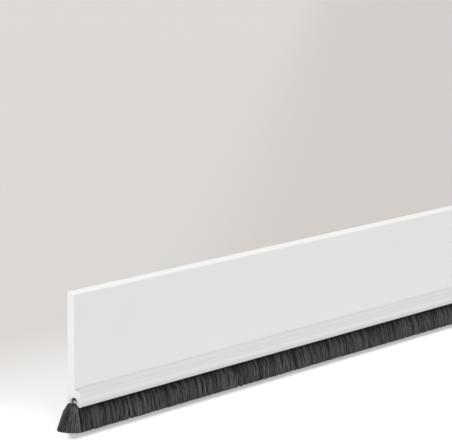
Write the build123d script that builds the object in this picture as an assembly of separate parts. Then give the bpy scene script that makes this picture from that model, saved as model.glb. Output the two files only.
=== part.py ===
from build123d import *
import os
import random
from math import cos, pi, sin, sqrt

# Door brush seal: a plate stuck to the door's face, with a pocket along its foot that holds
# a brush folded over a wire. Millimetres, +X along the strip, +Y towards the door, +Z up,
# origin at the centre of the adhesive face. Depths run forwards from the carrier's back,
# heights upwards from the edge of its lip.

# Carrier, one extrusion in rigid PVC
LENGTH = 1000.0
HEIGHT = 45.0
PLATE = 3.0  # wall of the flat plate
TOP_LAND = 1.2  # flat left behind the bevel of the top edge
BEVEL_DROP = 1.3
BEVEL_ROUND = 0.8  # where the bevel meets the front
LINE_HEIGHT = 7.0  # fine line between plate and housing
LINE_WIDTH = 0.5
LINE_DEPTH = 0.35
SHOULDER_DROP = 1.1  # slope from the line out to the housing's face
SHOULDER_DEPTH = 5.75
SHOULDER_RADIUS = 1.8
FACE_HEIGHT = 4.0  # the housing's face leans in a little down to here
FACE_DEPTH = 5.6
FACE_RADIUS = 1.0
RIDGE_HEIGHT = 2.8  # soft ridge along the housing's face
RIDGE_DEPTH = 6.0
RIDGE_RADIUS = 0.8
LIP_HEIGHT = 1.5  # from here the lip leans in
LIP_DEPTH = 5.7  # thin lip that hides the pocket from the front
LIP_EDGE = 0.6
LIP_ROUND = 0.2
BACK_ROUND = 1.2  # lower corner of the back wall

# Pocket for the folded head of the brush
POCKET_RADIUS = 1.45
POCKET_DEPTH = 2.75
POCKET_HEIGHT = 2.2
MOUTH = 2.4  # gap between the hooks that hold the head
HOOK_LAND = 0.15

# Adhesive tape, foam
TAPE_THICK = 1.0
TAPE_TOP_MARGIN = 3.0
TAPE_FOOT_MARGIN = 6.0
TAPE_END_MARGIN = 2.0

# Wire and brush
WIRE_RADIUS = 0.6
WIRE_DROP = 0.2  # from the middle of the folded head
WIRE_FORWARD = 0.5  # the fold pulls the wire towards the lip
WIRE_CLEARANCE = 0.05
PILE_CLEARANCE = 0.1  # folded head and neck to the pocket's walls
BRUSH_LENGTH = 9.5  # lip edge to hem
WAIST_HEIGHT = 0.1  # where the pile has opened out, just inside the lip
WAIST_LIP_GAP = 0.45
WAIST_BACK = 0.7  # behind the carrier's back
WAIST_SPLAY = 1.0  # past the carrier's sawn end
HEM_FRONT = 7.0
HEM_BACK = 4.2
HEM_SPLAY = 4.8
SKIRT_STEP = 0.05  # the skirt starts this much wider than the neck

# Tufts that the filaments stand in
TUFT_PITCH = 4.0
TUFT_RELIEF = (0.0, 1.0, 0.9)  # hollow, crest, crest, over one pitch
TUFT_UNEVEN = 0.4  # share by which one tuft may differ from the next
WAIST_RELIEF = 0.1
HEM_RELIEF = 0.3
HEM_LEAN = 0.45  # how far a tuft leans along the strip at the hem
END_STEPS = 10  # facets round each end of the skirt
END_SQUARE = 0.8  # power of the end's curve: 1 is an ellipse, less is squarer
SEED = 11

tape_width = HEIGHT - TAPE_TOP_MARGIN - TAPE_FOOT_MARGIN
lip_z = -tape_width / 2 - TAPE_FOOT_MARGIN
hook_height = POCKET_HEIGHT - sqrt(POCKET_RADIUS**2 - (MOUTH / 2) ** 2)
wall_foot = hook_height - HOOK_LAND
neck = MOUTH - 2 * PILE_CLEARANCE
neck_foot = wall_foot - PILE_CLEARANCE


def at(depth, height):
    """Y and Z of a point of the section, from its depth and height."""
    return (-TAPE_THICK - depth, lip_z + height)


def drawn_out(section):
    """The section drawn out over the strip's length, centred."""
    return extrude(section, amount=LENGTH / 2, both=True)


def carrier_profile():
    """Plate and housing as one wall, with the round pocket and its mouth cut out of the housing."""
    outline = [
        at(0, HEIGHT),
        at(TOP_LAND, HEIGHT),
        at(PLATE, HEIGHT - BEVEL_DROP),
        at(PLATE, LINE_HEIGHT + LINE_WIDTH / 2),
        at(PLATE - LINE_DEPTH, LINE_HEIGHT),
        at(SHOULDER_DEPTH, LINE_HEIGHT - SHOULDER_DROP),
        at(FACE_DEPTH, FACE_HEIGHT),
        at(RIDGE_DEPTH, RIDGE_HEIGHT),
        at(RIDGE_DEPTH, LIP_HEIGHT),
        at(LIP_DEPTH, 0),
        at(LIP_DEPTH - LIP_EDGE, 0),
        at(POCKET_DEPTH + MOUTH / 2, wall_foot),
        at(0, wall_foot),
    ]
    rounds = {
        2: BEVEL_ROUND,
        5: SHOULDER_RADIUS,
        6: FACE_RADIUS,
        7: RIDGE_RADIUS,
        9: LIP_ROUND,
        10: LIP_ROUND,
        12: BACK_ROUND,
    }
    with BuildSketch(Plane.YZ) as section:
        with BuildLine():
            Polyline(*outline, close=True)
        make_face()
        for corner, radius in rounds.items():
            fillet(section.vertices().sort_by_distance(outline[corner])[0], radius)
        with Locations(at(POCKET_DEPTH, POCKET_HEIGHT)):
            Circle(POCKET_RADIUS, mode=Mode.SUBTRACT)
            mouth_depth = POCKET_HEIGHT - wall_foot
            Rectangle(MOUTH, mouth_depth, align=(Align.CENTER, Align.MAX), mode=Mode.SUBTRACT)
    return drawn_out(section.sketch)


def tufted_side(depth, outwards, relief, lean, rng):
    """Points along one side of the pile: the tufts stand out from the depth, wander and lean."""
    tufts = round(LENGTH / TUFT_PITCH)
    steps = len(TUFT_RELIEF)
    spacing = LENGTH / (tufts * steps)
    points = [(-LENGTH / 2, depth)]
    for tuft in range(tufts):
        size = rng.uniform(1 - TUFT_UNEVEN, 1 + TUFT_UNEVEN)
        drift = lean * rng.uniform(-1, 1)
        for step, share in enumerate(TUFT_RELIEF):
            if tuft or step:
                x = -LENGTH / 2 + (tuft * steps + step) * spacing + drift
                points.append((x, depth + outwards * relief * share * size))
    return points + [(LENGTH / 2, depth)]


def rounded_end(start, end, side, splay):
    """Points round one end of the pile, from one side's depth to the other's."""
    middle = (start + end) / 2
    half = (start - end) / 2
    turns = [pi * step / END_STEPS for step in range(1, END_STEPS)]
    return [
        (side * (LENGTH / 2 + splay * sin(turn) ** END_SQUARE), middle + half * cos(turn))
        for turn in turns
    ]


def pile_outline(front, back, height, splay, relief=0.0, lean=0.0):
    """Closed outline of the pile at one height, the same number of points at every height."""
    rng = random.Random(SEED)
    front_side = tufted_side(front, 1, relief, lean, rng)
    back_side = tufted_side(back, -1, relief, lean, rng)[::-1]
    ring = front_side + rounded_end(front, back, 1, splay) + back_side + rounded_end(back, front, -1, splay)
    return Wire.make_polygon([(x, *at(depth, height)) for x, depth in ring])


def bristles():
    """Head folded over the wire, neck through the mouth, and a skirt of tufts opening to the hem."""
    with BuildSketch(Plane.YZ) as section:
        with Locations(at(POCKET_DEPTH, POCKET_HEIGHT)):
            Circle(POCKET_RADIUS - PILE_CLEARANCE)
            Rectangle(neck, POCKET_HEIGHT - neck_foot, align=(Align.CENTER, Align.MAX))
        with Locations(at(POCKET_DEPTH + WIRE_FORWARD, POCKET_HEIGHT - WIRE_DROP)):
            Circle(WIRE_RADIUS + WIRE_CLEARANCE, mode=Mode.SUBTRACT)
    reach = neck / 2 + SKIRT_STEP
    skirt = Solid.make_loft(
        [
            pile_outline(POCKET_DEPTH + reach, POCKET_DEPTH - reach, neck_foot, SKIRT_STEP),
            pile_outline(
                LIP_DEPTH - LIP_EDGE - WAIST_LIP_GAP,
                -WAIST_BACK,
                WAIST_HEIGHT,
                WAIST_SPLAY,
                WAIST_RELIEF,
            ),
            pile_outline(HEM_FRONT, -HEM_BACK, -BRUSH_LENGTH, HEM_SPLAY, HEM_RELIEF, HEM_LEAN),
        ],
        ruled=True,
    )
    return drawn_out(section.sketch) + skirt


def core_wire():
    """Round wire through the fold, sawn off flush with the carrier."""
    with BuildSketch(Plane.YZ) as section:
        with Locations(at(POCKET_DEPTH + WIRE_FORWARD, POCKET_HEIGHT - WIRE_DROP)):
            Circle(WIRE_RADIUS)
    return drawn_out(section.sketch)


def adhesive_tape():
    """Foam tape on the plate's back, held in from the edges and the ends."""
    length = LENGTH - 2 * TAPE_END_MARGIN
    return Box(length, TAPE_THICK, tape_width, align=(Align.CENTER, Align.MAX, Align.CENTER))


os.makedirs("parts", exist_ok=True)
for piece in (carrier_profile, bristles, core_wire, adhesive_tape):
    export_step(piece(), f"parts/{piece.__name__}.step")
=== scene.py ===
import math

import bpy
import numpy as np
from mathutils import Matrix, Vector
from mathutils.geometry import tessellate_polygon


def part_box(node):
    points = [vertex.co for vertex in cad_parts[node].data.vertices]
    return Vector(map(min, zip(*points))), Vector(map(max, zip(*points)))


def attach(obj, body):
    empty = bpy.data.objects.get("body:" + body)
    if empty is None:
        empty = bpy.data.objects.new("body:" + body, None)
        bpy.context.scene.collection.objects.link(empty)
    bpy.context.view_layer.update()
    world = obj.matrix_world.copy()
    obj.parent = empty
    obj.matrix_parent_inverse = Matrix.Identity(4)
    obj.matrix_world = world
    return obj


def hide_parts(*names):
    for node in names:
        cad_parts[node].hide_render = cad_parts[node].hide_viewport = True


# Door brush seal: a white extruded plate whose pocket grips a black brush folded over a wire.
# Section sizes are in millimetres, as depth in front of the carrier's back and height over its lip.
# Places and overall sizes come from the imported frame, in metres.

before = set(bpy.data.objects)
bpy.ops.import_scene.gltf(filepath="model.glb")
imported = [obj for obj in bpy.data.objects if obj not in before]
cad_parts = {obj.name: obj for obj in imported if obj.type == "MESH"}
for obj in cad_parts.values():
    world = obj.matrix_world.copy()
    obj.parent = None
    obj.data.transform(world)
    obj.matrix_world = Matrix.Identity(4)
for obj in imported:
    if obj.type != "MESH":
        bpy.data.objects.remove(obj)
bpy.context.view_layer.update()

MM = 0.001
carrier_low, carrier_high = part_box("carrier_profile")
tape_low, tape_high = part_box("adhesive_tape")
wire_low, wire_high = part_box("core_wire")
pile_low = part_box("bristles")[0]
BACK_Y, LIP_Z, FLOOR_Z = carrier_high.y, carrier_low.z, pile_low.z
LEFT, RIGHT = carrier_low.x / MM, carrier_high.x / MM

# Carrier section
HEIGHT = (carrier_high.z - carrier_low.z) / MM
PLATE = 3.0
TOP_LAND = 1.2
BEVEL_DROP = 1.3
BEVEL_ROUND = 0.8
LINE_HEIGHT = 7.0
LINE_WIDTH = 0.5
LINE_DEPTH = 0.35
SHOULDER_DROP = 1.1
SHOULDER_DEPTH = 5.75
SHOULDER_RADIUS = 1.8
FACE_HEIGHT = 4.0
FACE_DEPTH = 5.6
FACE_RADIUS = 1.0
RIDGE_HEIGHT = 2.8
RIDGE_DEPTH = 6.0
RIDGE_RADIUS = 0.8
LIP_HEIGHT = 1.5
LIP_DEPTH = 5.7
LIP_EDGE = 0.6
LIP_ROUND = 0.2
BACK_ROUND = 1.2
POCKET_RADIUS = 1.45
POCKET_DEPTH = 2.75
POCKET_HEIGHT = 2.2
MOUTH = 2.4
HOOK_LAND = 0.15
ARRIS = 0.15  # rounding that the die leaves on a sharp corner
SAW_ROUND = 0.12  # the sawn ends are wiped over
SAWN_FACE = 0.03  # faces this near an end are the sawn ones
HOOK_HEIGHT = POCKET_HEIGHT - math.sqrt(POCKET_RADIUS**2 - (MOUTH / 2) ** 2)
WALL_FOOT = HOOK_HEIGHT - HOOK_LAND

# Wire, in the section's own measures
WIRE_RADIUS = (wire_high.z - wire_low.z) / 2 / MM
WIRE_DEPTH = (BACK_Y - (wire_low.y + wire_high.y) / 2) / MM
WIRE_HEIGHT = ((wire_low.z + wire_high.z) / 2 - LIP_Z) / MM

# Pile: where its two faces run at the neck, the waist and the hem
FILAMENT = 0.13  # half a filament's thickness
NECK_HEIGHT, NECK_BACK, NECK_FRONT = 1.1, 1.8, 3.7
WAIST_HEIGHT, WAIST_BACK, WAIST_FRONT = -0.3, -0.6, 4.45
HEM_HEIGHT, HEM_BACK, HEM_FRONT = (FLOOR_Z - LIP_Z) / MM, -4.0, 6.9
HEM_RELIEF = 0.3  # how far a tuft's middle stands out at the hem
BELLY = 0.42  # share of the way down where the pile bulges most
BULGE = 0.5  # and how far
WAIST_SPLAY, END_SPLAY = 0.9, 4.6
END_REACH = 7.0  # how far in from a sawn end the filaments splay
TUFT, STRAND = 4.0, 0.7  # mean widths of the clumps and of the strands in them
SLOTS = 11  # strands from the back of the pile to the front
END_STRAND, END_SLOTS = 0.5, 19  # finer strands in which the sawn ends splay
GATHER, END_GATHER = 0.4, 0.35  # how far hairs close up in a strand, and what a sawn end adds
TUFT_PULL, STRAND_PULL = 0.16, 0.4  # how far hairs close up along the strip, in a tuft and in a strand
TUFT_LEAN, STRAND_LEAN, HAIR_LEAN = 0.4, 1.1, 0.2  # how far their tips lean along the strip
FAN_REACH, FAN_SPREAD, FAN_MOST = 0.91, 0.07, 1.02  # how far the splayed hairs fill the fan's ellipse
APART_FROM = -0.3  # behind this, the hairs that reach furthest stand apart from the rest
WAIST_IN, BELLY_IN, HEM_IN = 0.4, 0.5, 0.2  # how far the rest are drawn in there
# Painted shade and light along a hair: darkest at its root, where the hairs shade one another, lighter
# towards its tip
SHADE_DOWN = np.array([-1.0, -0.5, 0.0, 0.4])  # a hair's shade from its root to its tip
END_LIGHT = np.array([1.0, 0.7, 0.05, 0.0])  # light that reaches it from the open side of a sawn end
RUNS, PER_RUN, PER_END = 5, 8600, 1800
SEED = 11

# Camera and light
CAMERA_AT = (-1.4447, -0.6676, 0.1987)
CAMERA_YAW, CAMERA_PITCH = 32.183, 7.41  # degrees from +X towards +Y, and down
CAMERA_LENS = 242.3
BACK_FROM, BACK_STRENGTH, BACK_WIDTH = (0.222, 0.159, 0.93), 1.86, 5.0
FRONT_FROM, FRONT_STRENGTH, FRONT_WIDTH = (-0.7, -0.66, 0.36), 2.36, 50.0
SKY_STRENGTH = 0.26
BEYOND_STRENGTH = 0.8  # what the camera sees past the floor

# Floor, in metres
FLOOR_HALF = 60.0
GREY_FROM, GREY_TO = 0.0, 0.16  # where it turns from white to grey, behind the seal
DEEPER_ACROSS = (1.0, -1.79, 0.0)  # the grey deepens across a line that runs away behind the seal
DEEPER_FROM, DEEPER_TO = -0.53, -0.34


def metres(x, depth, height):
    """Points of the row frame from X, depth in front of the carrier's back and height over its lip, in mm."""
    return np.stack([x * MM, BACK_Y - depth * MM, LIP_Z + height * MM], -1)


def linear(code):
    """Linear RGBA of an sRGB hex colour."""
    parts = np.array([int(code[i : i + 2], 16) for i in (1, 3, 5)]) / 255
    return (*np.where(parts <= 0.04045, parts / 12.92, ((parts + 0.055) / 1.055) ** 2.4), 1.0)


def add(tree, kind, settings=(), inputs=()):
    """Adds a node. Settings are its properties; inputs are values, or sockets to link, by name or index."""
    made = tree.nodes.new(kind)
    for name, value in dict(settings).items():
        setattr(made, name, value)
    for name, value in dict(inputs).items():
        if isinstance(value, bpy.types.NodeSocket):
            tree.links.new(value, made.inputs[name])
        else:
            made.inputs[name].default_value = value
    return made


def new_tree(name):
    """A material with an empty node tree."""
    material = bpy.data.materials.new(name)
    material.use_nodes = True
    material.node_tree.nodes.clear()
    return material, material.node_tree


# Materials


def extruded_pvc():
    """Rigid PVC, white with titania, extruded: satin, faint die lines along the strip, duller sawn ends.
    Light and shade are painted on its front and its sawn ends.
    """
    material, tree = new_tree("white_rigid_pvc")
    place = add(tree, "ShaderNodeTexCoord").outputs["Object"]
    # Die lines run the whole strip, 0.9 mm apart
    along = add(tree, "ShaderNodeMapping", inputs={"Vector": place, "Scale": (0.01, 1, 1)}).outputs[0]
    lines = add(
        tree,
        "ShaderNodeTexNoise",
        inputs={"Vector": along, "Scale": 1 / (0.9 * MM), "Detail": 3, "Roughness": 0.6},
    ).outputs[0]
    # The web cools unevenly: slow waves about 30 mm long
    slow = add(
        tree, "ShaderNodeTexNoise", inputs={"Vector": place, "Scale": 1 / (30 * MM), "Detail": 2}
    ).outputs[0]
    x, _, z = add(tree, "ShaderNodeSeparateXYZ", inputs={0: place}).outputs
    end = add(tree, "ShaderNodeMath", {"operation": "ABSOLUTE"}, {0: x}).outputs[0]
    sawn = add(
        tree, "ShaderNodeMath", {"operation": "GREATER_THAN"}, {0: end, 1: (RIGHT - SAWN_FACE) * MM}
    ).outputs[0]
    # Saw scores, 0.35 mm apart, slanting across the sawn face
    slant = add(
        tree,
        "ShaderNodeMapping",
        inputs={"Vector": place, "Rotation": (math.radians(35), 0, 0), "Scale": (1, 1, 0.08)},
    ).outputs[0]
    scores = add(
        tree, "ShaderNodeTexNoise", inputs={"Vector": slant, "Scale": 1 / (0.35 * MM), "Detail": 2}
    ).outputs[0]
    relief = add(tree, "ShaderNodeMix", inputs={0: sawn, 2: lines, 3: scores}).outputs[0]
    waves = add(
        tree, "ShaderNodeBump", inputs={"Height": slow, "Strength": 0.2, "Distance": 0.15 * MM}
    ).outputs[0]
    bump = add(
        tree,
        "ShaderNodeBump",
        inputs={"Height": relief, "Strength": 0.25, "Distance": 0.02 * MM, "Normal": waves},
    ).outputs[0]
    tone = add(
        tree,
        "ShaderNodeMix",
        {"data_type": "RGBA"},
        {0: slow, 6: linear("#eaeae9"), 7: linear("#eeeeed")},
    ).outputs[2]
    # Shares that rise from nothing at one height over the lip, in mm, to all at another
    hollow_top, hollow_foot, ledge_foot, ledge_top, lip, pocket = [
        add(
            tree,
            "ShaderNodeMapRange",
            inputs={"Value": z, "From Min": LIP_Z + start * MM, "From Max": LIP_Z + full * MM},
        ).outputs[0]
        for start, full in ((6.0, 5.4), (3.1, 3.7), (5.3, 5.9), (6.9, 6.7), (2.4, 0.3), (5.5, 0.0))
    ]
    painted_shade_over_ridge, painted_light_on_ledge = [
        add(tree, "ShaderNodeMath", {"operation": "MULTIPLY"}, {0: first, 1: second}).outputs[0]
        for first, second in ((hollow_top, hollow_foot), (ledge_foot, ledge_top))
    ]
    # Painted light and shade: the ledge under the fine line is painted lighter where the plate shades it, and
    # painted shade lies over the ridge and deepens towards the lip
    for share, shade in ((painted_light_on_ledge, "#f0f0ef"), (painted_shade_over_ridge, "#e5e5e4"), (lip, "#dadad9")):
        tone = add(
            tree, "ShaderNodeMix", {"data_type": "RGBA"}, {0: share, 6: tone, 7: linear(shade)}
        ).outputs[2]
    # The sawn faces are painted lighter than the plate, and painted shade darkens them towards the pocket and
    # the lip
    sawn_face_painted_light_and_shade = add(
        tree, "ShaderNodeMix", {"data_type": "RGBA"}, {0: pocket, 6: linear("#f8f8f6"), 7: linear("#d4d4d2")}
    ).outputs[2]
    colour = add(tree, "ShaderNodeMix", {"data_type": "RGBA"}, {0: sawn, 6: tone, 7: sawn_face_painted_light_and_shade}).outputs[2]
    dull = add(tree, "ShaderNodeMapRange", inputs={"Value": lines, "To Min": 0.3, "To Max": 0.42}).outputs[0]
    rough = add(tree, "ShaderNodeMix", inputs={0: sawn, 2: dull, 3: 0.62}).outputs[0]
    shader = add(
        tree,
        "ShaderNodeBsdfPrincipled",
        inputs={"Base Color": colour, "Roughness": rough, "IOR": 1.53, "Normal": bump},
    )
    add(tree, "ShaderNodeOutputMaterial", inputs={0: shader.outputs[0]})
    return material


def polypropylene_filament():
    """Black polypropylene monofilament, melt-drawn: smooth, a soft gloss along each hair, uneven strands."""
    material, tree = new_tree("black_polypropylene_filament")
    # The tone carries each hair's own colour, with painted shade towards its root and between strands, and
    # painted light at its tip and at the sawn ends
    tone = add(tree, "ShaderNodeAttribute", {"attribute_name": "tone"}).outputs["Fac"]
    colour = add(
        tree, "ShaderNodeMix", {"data_type": "RGBA"}, {0: tone, 6: linear("#0c0c0d"), 7: linear("#767679")}
    ).outputs[2]
    # Towards the roots the hairs lie in one another's shade and lose their gloss
    gloss = add(
        tree, "ShaderNodeMapRange", inputs={"Value": tone, "From Max": 0.2, "To Min": 0.05, "To Max": 0.5}
    ).outputs[0]
    shader = add(
        tree,
        "ShaderNodeBsdfPrincipled",
        inputs={"Base Color": colour, "Roughness": 0.42, "IOR": 1.49, "Specular IOR Level": gloss},
    )
    add(tree, "ShaderNodeOutputMaterial", inputs={0: shader.outputs[0]})
    return material


def packed_pile():
    """The pile's packed inside, hair ends pressed together: near black, streaked down the hairs, no gloss."""
    material, tree = new_tree("packed_pile")
    place = add(tree, "ShaderNodeTexCoord").outputs["Object"]
    down = add(tree, "ShaderNodeMapping", inputs={"Vector": place, "Scale": (1, 1, 0.1)}).outputs[0]
    streaks = add(
        tree, "ShaderNodeTexNoise", inputs={"Vector": down, "Scale": 1 / (0.3 * MM), "Detail": 2}
    ).outputs[0]
    colour = add(
        tree, "ShaderNodeMix", {"data_type": "RGBA"}, {0: streaks, 6: linear("#161617"), 7: linear("#38383a")}
    ).outputs[2]
    bump = add(
        tree, "ShaderNodeBump", inputs={"Height": streaks, "Strength": 0.6, "Distance": 0.15 * MM}
    ).outputs[0]
    shader = add(
        tree, "ShaderNodeBsdfPrincipled", inputs={"Base Color": colour, "Roughness": 0.8, "Normal": bump}
    )
    add(tree, "ShaderNodeOutputMaterial", inputs={0: shader.outputs[0]})
    return material


def galvanised_steel():
    """Drawn steel wire, hot-dip galvanised: pale zinc with small dull patches."""
    material, tree = new_tree("galvanised_steel_wire")
    place = add(tree, "ShaderNodeTexCoord").outputs["Object"]
    patches = add(
        tree, "ShaderNodeTexNoise", inputs={"Vector": place, "Scale": 1 / (0.5 * MM), "Detail": 3}
    ).outputs[0]
    colour = add(
        tree, "ShaderNodeMix", {"data_type": "RGBA"}, {0: patches, 6: linear("#d6d9db"), 7: linear("#eff0f1")}
    ).outputs[2]
    rough = add(
        tree, "ShaderNodeMapRange", inputs={"Value": patches, "To Min": 0.6, "To Max": 0.75}
    ).outputs[0]
    shader = add(
        tree, "ShaderNodeBsdfPrincipled", inputs={"Base Color": colour, "Metallic": 1.0, "Roughness": rough}
    )
    add(tree, "ShaderNodeOutputMaterial", inputs={0: shader.outputs[0]})
    return material


def foam_tape():
    """Closed-cell polyethylene foam with an acrylic adhesive face that keeps the liner's diamond print."""
    material, tree = new_tree("polyethylene_foam_tape")
    place = add(tree, "ShaderNodeTexCoord").outputs["Object"]
    y = add(tree, "ShaderNodeSeparateXYZ", inputs={0: place}).outputs[1]
    face = add(
        tree, "ShaderNodeMath", {"operation": "GREATER_THAN"}, {0: y, 1: tape_high.y - 0.02 * MM}
    ).outputs[0]
    # Cells 0.3 mm across show on the slit edges
    cells = add(tree, "ShaderNodeTexVoronoi", inputs={"Vector": place, "Scale": 1 / (0.3 * MM)}).outputs[0]
    # The liner's print is two sets of lines 1.5 mm apart
    turned = [
        add(
            tree,
            "ShaderNodeMapping",
            inputs={"Vector": place, "Rotation": (0, math.radians(angle), 0)},
        ).outputs[0]
        for angle in (45, -45)
    ]
    waves = [
        add(
            tree,
            "ShaderNodeTexWave",
            {"bands_direction": "X"},
            {"Vector": vector, "Scale": 2 * math.pi / (20 * 1.5 * MM)},
        ).outputs[1]
        for vector in turned
    ]
    diamonds = add(tree, "ShaderNodeMath", {"operation": "MULTIPLY"}, {0: waves[0], 1: waves[1]}).outputs[0]
    relief = add(tree, "ShaderNodeMix", inputs={0: face, 2: cells, 3: diamonds}).outputs[0]
    bump = add(
        tree, "ShaderNodeBump", inputs={"Height": relief, "Strength": 0.35, "Distance": 0.08 * MM}
    ).outputs[0]
    rough = add(tree, "ShaderNodeMix", inputs={0: face, 2: 0.9, 3: 0.28}).outputs[0]
    colour = add(
        tree, "ShaderNodeMix", {"data_type": "RGBA"}, {0: face, 6: linear("#ecebe6"), 7: linear("#dddcd4")}
    ).outputs[2]
    shader = add(
        tree,
        "ShaderNodeBsdfPrincipled",
        inputs={"Base Color": colour, "Roughness": rough, "IOR": 1.47, "Normal": bump},
    )
    add(tree, "ShaderNodeOutputMaterial", inputs={0: shader.outputs[0]})
    return material


# Meshes


def mesh_object(name, points, quads, triangles, flat=0):
    """An object from points (n, 3), quads (q, 4) and triangles (t, 3). Its last flat faces aren't smooth."""
    mesh = bpy.data.meshes.new(name)
    corners = np.concatenate([np.ravel(quads), np.ravel(triangles)]).astype(np.int32)
    starts = np.concatenate([np.arange(len(quads)) * 4, len(quads) * 4 + np.arange(len(triangles)) * 3])
    smooth = np.arange(len(starts)) < len(starts) - flat
    mesh.vertices.add(len(points))
    mesh.vertices.foreach_set("co", np.ravel(points).astype(np.float32))
    mesh.loops.add(len(corners))
    mesh.loops.foreach_set("vertex_index", corners)
    mesh.polygons.add(len(starts))
    mesh.polygons.foreach_set("loop_start", starts.astype(np.int32))
    mesh.polygons.foreach_set("use_smooth", smooth)
    mesh.update(calc_edges=True)
    made = bpy.data.objects.new(name, mesh)
    bpy.context.scene.collection.objects.link(made)
    return made


def dress(piece, material, slot, *nodes):
    """Gives a piece its material, hangs it from the root body and hides the imported parts that it takes the
    place of.
    """
    piece.data.materials.append(material)
    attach(piece, "root")
    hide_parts(*nodes)
    return piece


def signed_area(outline):
    """Twice the area of a closed outline, positive if it runs anticlockwise."""
    x, y = outline.T
    return (x * np.roll(y, -1) - np.roll(x, -1) * y).sum()


def rounded(corners, steps=6):
    """Closed anticlockwise outline through corners (depth, height, radius), each rounded by a tangent arc.

    With h half the corner's angle, the arc's ends lie radius / tan h along the two sides and its centre
    radius / sin h along the bisector.
    """
    data = np.array(corners, float)
    points, radii = data[:, :2], data[:, 2]
    last = np.roll(points, 1, 0) - points
    following = np.roll(points, -1, 0) - points
    last /= np.linalg.norm(last, axis=1, keepdims=True)
    following /= np.linalg.norm(following, axis=1, keepdims=True)
    halves = np.arccos(np.clip((last * following).sum(1), -1, 1)) / 2
    share = np.linspace(0, 1, steps + 1)[:, None]
    arcs = []
    for point, radius, a, b, half in zip(points, radii, last, following, halves):
        if radius == 0:
            arcs.append(point[None])
            continue
        centre = point + (a + b) / np.linalg.norm(a + b) * radius / math.sin(half)
        start = point + a * radius / math.tan(half) - centre
        end = point + b * radius / math.tan(half) - centre
        turn = math.pi - 2 * half
        sweep = np.sin((1 - share) * turn) * start + np.sin(share * turn) * end
        arcs.append(centre + sweep / math.sin(turn))
    outline = np.concatenate(arcs)
    return outline if signed_area(outline) > 0 else outline[::-1]


def supported(outline, reach=0.15):
    """The outline with a point near each end of every long side, which keeps smooth shading in the arcs."""
    parts = []
    for point, step in zip(outline, np.roll(outline, -1, 0) - outline):
        length = np.linalg.norm(step)
        parts.append(point[None])
        if length > 4 * reach:
            parts.append(point + step * np.array([[reach / length], [1 - reach / length]]))
    return np.concatenate(parts)


def drawn_out(name, outline, low, high, rounding, spacing=25.0):
    """An anticlockwise outline drawn along X from low to high, in mm, its ends rounded over and capped.

    A quarter turn at each end pulls the outline into the material: at angle t the station is
    rounding (1 - cos t) from the end and the outline is inset by rounding (1 - sin t).
    """
    turn = np.linspace(0, math.pi / 2, 5)
    along, inset = rounding * (1 - np.cos(turn)), rounding * (1 - np.sin(turn))
    middle = np.linspace(low + 2 * rounding, high - 2 * rounding, max(2, round((high - low) / spacing)))
    stations = np.concatenate([low + along, middle, (high - along)[::-1]])
    insets = np.concatenate([inset, np.zeros(len(middle)), inset[::-1]])
    side = np.roll(outline, -1, 0) - np.roll(outline, 1, 0)
    normal = np.stack([side[:, 1], -side[:, 0]], 1) / np.linalg.norm(side, axis=1, keepdims=True)
    rings = outline[None] - normal[None] * insets[:, None, None]
    count, rows = len(outline), len(stations)
    x = np.repeat(stations[:, None], count, 1)
    points = metres(x, rings[..., 0], rings[..., 1]).reshape(-1, 3)
    i, j = np.meshgrid(np.arange(rows - 1), np.arange(count), indexing="ij")
    after = (j + 1) % count
    quads = np.stack([i * count + j, (i + 1) * count + j, (i + 1) * count + after, i * count + after], -1)
    cap = np.array(tessellate_polygon([[Vector((a, b, 0)) for a, b in rings[0]]]))
    a, b, c = (rings[0][cap[:, n]] for n in range(3))
    anticlockwise = np.cross(b - a, c - a) > 0
    cap = np.where(anticlockwise[:, None], cap, cap[:, ::-1])
    triangles = np.concatenate([cap, cap[:, ::-1] + (rows - 1) * count])
    return mesh_object(name, points, quads.reshape(-1, 4), triangles, flat=len(triangles))


def arc(depth, height, radius, start, end, count):
    """Points of an arc in the section, from one angle to another in degrees, 0 forwards and 90 up."""
    angle = np.radians(np.linspace(start, end, count))
    return np.stack([depth + radius * np.cos(angle), height + radius * np.sin(angle)], 1)


def carrier_outline():
    """The carrier's section, with every corner softened as a die leaves it and a true round pocket."""
    hook = math.degrees(math.asin((POCKET_HEIGHT - HOOK_HEIGHT) / POCKET_RADIUS))
    pocket = arc(POCKET_DEPTH, POCKET_HEIGHT, POCKET_RADIUS, -hook, 180 + hook, 33)
    front, back = POCKET_DEPTH + MOUTH / 2, POCKET_DEPTH - MOUTH / 2
    return supported(
        rounded(
            [
                (0, HEIGHT, ARRIS),
                (TOP_LAND, HEIGHT, ARRIS),
                (PLATE, HEIGHT - BEVEL_DROP, BEVEL_ROUND),
                (PLATE, LINE_HEIGHT + LINE_WIDTH / 2, 0.04),
                (PLATE - LINE_DEPTH, LINE_HEIGHT, 0.04),
                (SHOULDER_DEPTH, LINE_HEIGHT - SHOULDER_DROP, SHOULDER_RADIUS),
                (FACE_DEPTH, FACE_HEIGHT, FACE_RADIUS),
                (RIDGE_DEPTH, RIDGE_HEIGHT, RIDGE_RADIUS),
                (RIDGE_DEPTH, LIP_HEIGHT, 0.1),
                (LIP_DEPTH, 0, LIP_ROUND),
                (LIP_DEPTH - LIP_EDGE, 0, LIP_ROUND),
                (front, WALL_FOOT, 0.08),
                *[(depth, height, 0) for depth, height in pocket],
                (back, WALL_FOOT, 0.08),
                (0, WALL_FOOT, BACK_ROUND),
            ]
        )
    )


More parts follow.
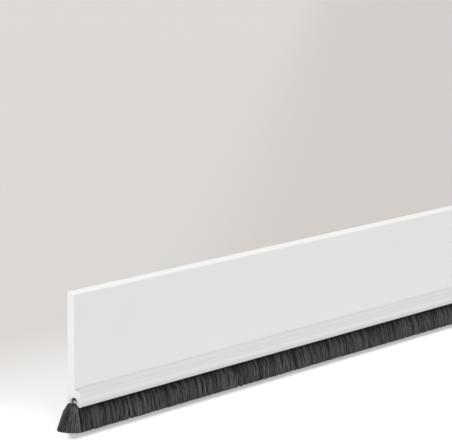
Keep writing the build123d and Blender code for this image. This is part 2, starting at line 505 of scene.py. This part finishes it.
def folded_core_outline():
    """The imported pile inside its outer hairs: two legs, a thin slit between them, folded round the wire."""
    cover = 0.75  # hairs that lie over the core
    slit = 0.02
    head = arc(POCKET_DEPTH, POCKET_HEIGHT, POCKET_RADIUS - 0.12, -45, 225, 24)
    bore = arc(WIRE_DEPTH, WIRE_HEIGHT, WIRE_RADIUS + 0.02, 268, -88, 24)
    corners = [
        (HEM_FRONT - cover, HEM_HEIGHT + cover),
        (WAIST_FRONT - cover, WAIST_HEIGHT - 0.2),
        *head,
        (WAIST_BACK + cover, WAIST_HEIGHT - 0.2),
        (HEM_BACK + cover, HEM_HEIGHT + cover),
        (WIRE_DEPTH - slit, HEM_HEIGHT + cover),
        *bore,
        (WIRE_DEPTH + slit, HEM_HEIGHT + cover),
    ]
    outline = np.array(corners)
    return outline if signed_area(outline) > 0 else outline[::-1]


def tape_outline():
    """The tape's section: two flat faces and slit edges that are drawn in a little between them."""
    thick = (tape_high.y - tape_low.y) / MM
    low, high = (tape_low.z - LIP_Z) / MM, (tape_high.z - LIP_Z) / MM
    drawn_in = 0.1
    return supported(
        rounded(
            [
                (0, low, 0.03),
                (-thick / 2, low + drawn_in, thick),
                (-thick, low, 0.03),
                (-thick, high, 0.03),
                (-thick / 2, high - drawn_in, thick),
                (0, high, 0.03),
            ]
        )
    )


# Pile


def clumps(width, rng, slots=1):
    """Edges of uneven clumps along the strip, and five traits from -1 to 1 for each of their slots across it.

    The traits are a clump's lean, size and tone, and how it bends along the strip and across it.
    """
    count = round((RIGHT - LEFT) / width)
    edges = np.concatenate([[0], np.cumsum(1 + 0.4 * rng.uniform(-1, 1, count))])
    return LEFT + edges / edges[-1] * (RIGHT - LEFT), rng.uniform(-1, 1, (count, slots, 5))


def in_clump(x, across, edges, traits):
    """For each hair its clump's middle, how far off it lies (0 there, 1 at the edge), and the traits."""
    index = np.clip(np.searchsorted(edges, x) - 1, 0, len(traits) - 1)
    slot = np.clip((across + 1) / 2 * traits.shape[1], 0, traits.shape[1] - 1).astype(int)
    middle = (edges[index] + edges[index + 1]) / 2
    off = np.abs(x - middle) / (edges[index + 1] - edges[index]) * 2
    return middle, np.clip(off, 0, 1), traits[index, slot].T


def hairs(name, path, radius, tone, rng):
    """Three-sided hairs along paths (n, k, 3) in metres, closed at both ends, with tones (n, k) along them.

    At each station the ring stands across the path: its points are the station plus radius times
    (cos a side + sin a up), at three angles a that start anywhere.
    """
    count, rows = path.shape[:2]
    along = np.gradient(path, axis=1)
    along /= np.linalg.norm(along, axis=2, keepdims=True)
    side = np.cross(along, (1.0, 0.0, 0.0))
    side /= np.linalg.norm(side, axis=2, keepdims=True)
    up = np.cross(along, side)
    angle = rng.uniform(0, 2 * math.pi, (count, 1, 1, 1)) + (2 * math.pi / 3) * np.arange(3)[:, None]
    ring = np.cos(angle) * side[:, :, None] + np.sin(angle) * up[:, :, None]
    points = path[:, :, None] + radius[:, None, None, None] * ring
    n, k, j = np.meshgrid(np.arange(count), np.arange(rows - 1), np.arange(3), indexing="ij")
    here, nxt = (n * rows + k) * 3, (j + 1) % 3
    quads = np.stack([here + j, here + nxt, here + 3 + nxt, here + 3 + j], -1).reshape(-1, 4)
    root = np.arange(count)[:, None] * rows * 3 + np.array([2, 1, 0])
    tip = (np.arange(count)[:, None] * rows + rows - 1) * 3 + np.array([0, 1, 2])
    made = mesh_object(name, points.reshape(-1, 3), quads, np.concatenate([root, tip]), flat=2 * count)
    shade = made.data.attributes.new("tone", "FLOAT", "POINT")
    shade.data.foreach_set("value", np.repeat(np.ravel(tone), 3).astype(np.float32))
    return made


def hanging_hairs(name, x, across, tufts, strands, rng):
    """Hairs from the neck to the trimmed hem, at x along the strip and across from -1 (back) to 1 (front).

    Each hair runs from the neck through the waist to the hem between the pile's two faces. It is drawn
    towards the middle of its strand and tuft, leans with them, and near a sawn end splays outwards.
    """
    count = len(x)
    tuft, tuft_off, (tuft_lean, tuft_size, _, _, _) = in_clump(x, across, *tufts)
    strand, strand_off, (lean, size, tone, bend, wave) = in_clump(x, across, *strands)
    side, room = np.sign(x), RIGHT - np.abs(x)
    near_end = np.clip(1 - room / END_REACH, 0, 1) ** 2
    slots = strands[1].shape[1]
    slot = (np.floor((across + 1) / 2 * slots) + 0.5) / slots * 2 - 1
    tip = np.clip(across + (GATHER + END_GATHER * near_end) * (slot - across), -1, 1)
    neck = NECK_BACK + (across + 1) / 2 * (NECK_FRONT - NECK_BACK)
    waist = WAIST_BACK + (across + 1) / 2 * (WAIST_FRONT - WAIST_BACK)
    hem = HEM_BACK + (tip + 1) / 2 * (HEM_FRONT - HEM_BACK)
    # At the hem a tuft's middle stands out, and each strand by its size, with sunk edges
    stand = HEM_RELIEF * (1 + 0.4 * tuft_size) * (1 - tuft_off**2) + 0.12 * size - 0.15 * strand_off**3
    drift = TUFT_PULL * (tuft - x) + STRAND_PULL * (strand - x) + TUFT_LEAN * tuft_lean + STRAND_LEAN * lean
    drift += rng.normal(0, HAIR_LEAN, count)
    # No hair leans out past its sawn end
    drift = np.where(side * drift > room, side * room, drift)
    drift *= 1 - 0.8 * near_end
    hem += np.sign(across) * across**2 * stand * (1 - near_end)
    # Round the sawn ends the hairs stand out as on half an ellipse
    reach = rng.normal(FAN_REACH, FAN_SPREAD, count)
    ellipse = np.clip(1 - across**2, 0.02, 1) ** 0.4 * np.minimum(reach, FAN_MOST)
    # At the back of a sawn end a few thin hairs stand apart from the rest
    apart = (reach > FAN_MOST) & (across < APART_FROM)
    drawn_in = near_end * np.clip(-across, 0, 1) * ~apart
    hem += HEM_IN * drawn_in
    waist += WAIST_IN * drawn_in
    splay = END_SPLAY * near_end * ellipse
    waist_splay = WAIST_SPLAY * near_end * ellipse
    # The trim leaves hairs some hundredths of a mm short of the hem, and 15 in a thousand up to 0.4 mm
    short = np.abs(rng.normal(0, 0.03, count)) + 0.03 + splay * rng.uniform(0, 0.06, count)
    short += np.where(rng.uniform(0, 1, count) < 0.015, rng.uniform(0, 0.4, count), 0)
    # How far a hair bows out of the pile's face, and bends along the strip
    bow = BULGE * (1 - near_end) * across + 0.3 * wave + rng.normal(0, 0.06, count)
    crimp = rng.normal(0, 0.08, count) + 0.9 * bend
    rows = [
        (x, neck, np.full(count, NECK_HEIGHT)),
        (x + 0.1 * drift + side * waist_splay, waist, WAIST_HEIGHT + rng.normal(0, 0.1, count)),
        (
            x + 0.5 * drift + crimp + side * (BELLY * splay + (1 - BELLY) * waist_splay),
            waist + BELLY * (hem - waist) + bow + BELLY_IN * drawn_in,
            BELLY * HEM_HEIGHT + rng.normal(0, 0.5, count),
        ),
        (x + drift + side * splay, hem, HEM_HEIGHT + short),
    ]
    path = np.stack([metres(*row) for row in rows], 1)
    radius = FILAMENT * MM * rng.uniform(0.85, 1.15, count) * (1 - 0.5 * apart * near_end)
    # A hair's own shade, from its strand's tone and by chance
    shade = 0.45 + (0.16 + 0.16 * near_end) * tone + rng.normal(0, 0.15, count)
    # Painted shade between the strands
    shade -= 0.25 * near_end * (slots * (across - slot)) ** 2  # dark between the strands
    # Painted shade towards a hair's root, and painted light from the open side of a sawn end
    shade = shade[:, None] + SHADE_DOWN + near_end[:, None] * END_LIGHT
    return hairs(name, path, radius, np.clip(shade, 0, 1) ** 2, rng)


def spread_across(count, rng):
    """Places across the pile: 42% of the hairs in its front face, 30% in its back, and the rest between."""
    kind = rng.uniform(0, 1, count)
    skin = 1 - 0.22 * rng.uniform(0, 1, count) ** 2
    inner = rng.uniform(-0.85, 0.85, count)
    return np.where(kind < 0.42, skin, np.where(kind < 0.72, -skin, inner))


def folded_hairs(name, side, rng, layers=5, nests=4):
    """Hairs of one sawn end that show their fold: each goes up one leg, over the wire and down the other."""
    layer, nest = (a.ravel() for a in np.meshgrid(np.arange(layers), np.arange(nests), indexing="ij"))
    count = len(layer)
    # Nests lie 0.2 mm apart outwards from the wire, and layers 0.27 mm apart along the strip
    radius = WIRE_RADIUS + 0.17 + 0.2 * nest + rng.uniform(-0.03, 0.03, count)
    x = side * (RIGHT - 0.15 - 0.27 * layer - rng.uniform(0, 0.08, count))
    angle = np.radians(np.linspace(-35, 215, 13))
    lift = 0.14 * nest
    depth = WIRE_DEPTH + radius[:, None] * np.cos(angle)
    height = WIRE_HEIGHT + radius[:, None] * np.sin(angle) + lift[:, None] * np.clip(np.sin(angle), 0, 1)
    leg = 0.45 + 0.16 * nest
    for sign, place in ((1, 0), (-1, depth.shape[1])):
        foot = WIRE_DEPTH + sign * leg
        depth = np.insert(depth, place, foot, axis=1)
        height = np.insert(height, place, 0.6, axis=1)
    path = metres(np.repeat(x[:, None], depth.shape[1], 1) + rng.normal(0, 0.02, depth.shape), depth, height)
    # Painted light: along the fold the hairs grow lighter towards the back leg, where light catches them
    tone = rng.uniform(0.1, 0.4, (count, 1)) + np.linspace(0, 0.9, depth.shape[1]) ** 2
    return hairs(name, path, np.full(count, 0.9 * FILAMENT * MM), tone, rng)


def stray_hairs(name, side, rng, count=360):
    """Hairs of one sawn end that spring out of the mouth over the back wall's foot and fall to the hem.

    The further a hair springs out, the higher it arches, and the fewer there are of it.
    """
    spring = rng.uniform(0, 1, count) ** 1.7
    reach = rng.uniform(0, 1, count)
    spread = rng.normal(0, 0.12, (4, count))
    rows = [
        (RIGHT - 0.4, 2.1 + 0.5 * spread[0], 0.9 + 0.4 * spring),
        (RIGHT + 0.1 + 0.5 * spring, 1.6 - 0.3 * spring + spread[0], 0.7 + 0.8 * spring + 0.5 * spread[1]),
        (RIGHT + 0.4 + 0.7 * spring, 0.9 - 0.1 * spring + spread[0], 0.3 + 0.95 * spring + spread[1]),
        (RIGHT + 0.9 + 0.7 * spring, -0.6 * reach - 0.3 * spring + spread[2], -1.6 + spread[1]),
        (
            RIGHT + 2.6 + 0.9 * spring + spread[3],
            -1.1 - 1.5 * reach + spread[2],
            HEM_HEIGHT + 0.05 + 1.2 * spring * rng.uniform(0, 1, count),
        ),
    ]
    path = np.stack([metres(side * (x + np.zeros(count)), depth, height) for x, depth, height in rows], 1)
    # Painted shade and light: the hairs are darker where they leave the mouth and lighter towards their ends
    tone = rng.uniform(0.3, 1, (count, 1)) * np.array([0.5, 0.6, 0.75, 0.9, 1.0])
    return hairs(name, path, FILAMENT * MM * (0.8 - 0.3 * spring), tone, rng)


def pile(filament, packed):
    """The whole brush: a dark core, runs of hairs along the strip, splayed and folded hairs at its ends."""
    rng = np.random.default_rng(SEED)
    tufts, strands = clumps(TUFT, rng), clumps(STRAND, rng, SLOTS)
    end_strands = clumps(END_STRAND, rng, END_SLOTS)
    core = drawn_out("pile_core", folded_core_outline(), LEFT + 1.2, RIGHT - 1.2, 0.05)
    dress(core, packed, "black_pile", "bristles")
    edges = np.linspace(LEFT, RIGHT, RUNS + 1)
    for run in range(RUNS):
        x = rng.uniform(edges[run], edges[run + 1], PER_RUN)
        piece = hanging_hairs(f"pile_run_{run + 1}", x, spread_across(PER_RUN, rng), tufts, strands, rng)
        dress(piece, filament, "black_pile", "bristles")
    for side, word in ((-1, "left"), (1, "right")):
        x = side * (RIGHT - 2.5 * rng.uniform(0, 1, PER_END) ** 1.5)
        across = rng.uniform(-1, 1, PER_END)
        piece = hanging_hairs(f"pile_end_{word}", x, across, tufts, end_strands, rng)
        dress(piece, filament, "black_pile", "bristles")
        dress(folded_hairs(f"pile_fold_{word}", side, rng), filament, "black_pile", "bristles")
        dress(stray_hairs(f"pile_stray_{word}", side, rng), filament, "black_pile", "bristles")


# Stage


def floor():
    """A pale floor, white beside the seal and a soft warm grey behind it, that keeps the seal's shadow."""
    square = FLOOR_HALF * np.array([(-1, -1), (1, -1), (1, 1), (-1, 1)])
    points = np.concatenate([square, np.full((4, 1), FLOOR_Z)], 1)
    made = mesh_object("floor", points, np.array([[0, 1, 2, 3]]), np.zeros((0, 3), int), flat=1)
    material, tree = new_tree("pale_floor")
    place = add(tree, "ShaderNodeTexCoord").outputs["Object"]
    y = add(tree, "ShaderNodeSeparateXYZ", inputs={0: place}).outputs[1]
    behind = add(
        tree,
        "ShaderNodeMapRange",
        {"interpolation_type": "SMOOTHSTEP"},
        {"Value": y, "From Min": GREY_FROM, "From Max": GREY_TO},
    ).outputs[0]
    # The grey deepens a little to the right
    across = add(tree, "ShaderNodeVectorMath", {"operation": "DOT_PRODUCT"}, {0: place, 1: DEEPER_ACROSS})
    right = add(
        tree,
        "ShaderNodeMapRange",
        {"interpolation_type": "SMOOTHSTEP"},
        {"Value": across.outputs["Value"], "From Min": DEEPER_FROM, "From Max": DEEPER_TO},
    ).outputs[0]
    grey = add(
        tree, "ShaderNodeMix", {"data_type": "RGBA"}, {0: right, 6: linear("#d5d1ce"), 7: linear("#cdc7c4")}
    ).outputs[2]
    colour = add(
        tree, "ShaderNodeMix", {"data_type": "RGBA"}, {0: behind, 6: linear("#fdfdfd"), 7: grey}
    ).outputs[2]
    matt = add(tree, "ShaderNodeBsdfDiffuse", inputs={"Color": colour})
    # What the floor sends back to the seal is that of a light grey studio floor
    dim = add(tree, "ShaderNodeBsdfDiffuse", inputs={"Color": linear("#c9c9c9")})
    seen = add(tree, "ShaderNodeLightPath").outputs["Is Camera Ray"]
    shader = add(tree, "ShaderNodeMixShader", inputs={0: seen, 1: dim.outputs[0], 2: matt.outputs[0]})
    add(tree, "ShaderNodeOutputMaterial", inputs={0: shader.outputs[0]})
    made.data.materials.append(material)


def lights():
    """A wide soft lamp low in front, a small one high behind that keeps the shadow short, and a pale sky."""
    for name, source, strength, width in (
        ("front_key", FRONT_FROM, FRONT_STRENGTH, FRONT_WIDTH),
        ("back_light", BACK_FROM, BACK_STRENGTH, BACK_WIDTH),
    ):
        lamp = bpy.data.lights.new(name, "SUN")
        lamp.energy = strength
        lamp.angle = math.radians(width)
        key = bpy.data.objects.new(name, lamp)
        key.rotation_euler = Vector(source).to_track_quat("Z", "Y").to_euler()
        bpy.context.scene.collection.objects.link(key)
    world = bpy.data.worlds.new("pale_studio")
    world.use_nodes = True
    tree = world.node_tree
    tree.nodes.clear()
    # Beyond the floor the camera sees a pale grey
    seen = add(tree, "ShaderNodeLightPath").outputs["Is Camera Ray"]
    strength = add(tree, "ShaderNodeMix", inputs={0: seen, 2: SKY_STRENGTH, 3: BEYOND_STRENGTH}).outputs[0]
    sky = add(tree, "ShaderNodeBackground", inputs={0: linear("#ffffff"), 1: strength})
    add(tree, "ShaderNodeOutputWorld", inputs={0: sky.outputs[0]})
    bpy.context.scene.world = world
    bpy.context.scene.view_settings.view_transform = "Standard"


def camera():
    """A long lens near floor height, looking along the strip from its left end."""
    data = bpy.data.cameras.new("camera")
    data.lens = CAMERA_LENS
    data.sensor_width = 36.0
    data.clip_end = 200.0
    made = bpy.data.objects.new("camera", data)
    made.location = CAMERA_AT
    made.rotation_euler = (math.radians(90 - CAMERA_PITCH), 0, math.radians(CAMERA_YAW - 90))
    bpy.context.scene.collection.objects.link(made)
    bpy.context.scene.camera = made


camera()
lights()
floor()
carrier = drawn_out("carrier", carrier_outline(), LEFT, RIGHT, SAW_ROUND)
dress(carrier, extruded_pvc(), "white_pvc", "carrier_profile")
wire = drawn_out("wire", arc(WIRE_DEPTH, WIRE_HEIGHT, WIRE_RADIUS, 0, 350, 36), LEFT, RIGHT, 0.08)
dress(wire, galvanised_steel(), "galvanised_wire", "core_wire")
tape = drawn_out("tape", tape_outline(), tape_low.x / MM, tape_high.x / MM, 0.05)
dress(tape, foam_tape(), "foam_tape", "adhesive_tape")
pile(polypropylene_filament(), packed_pile())
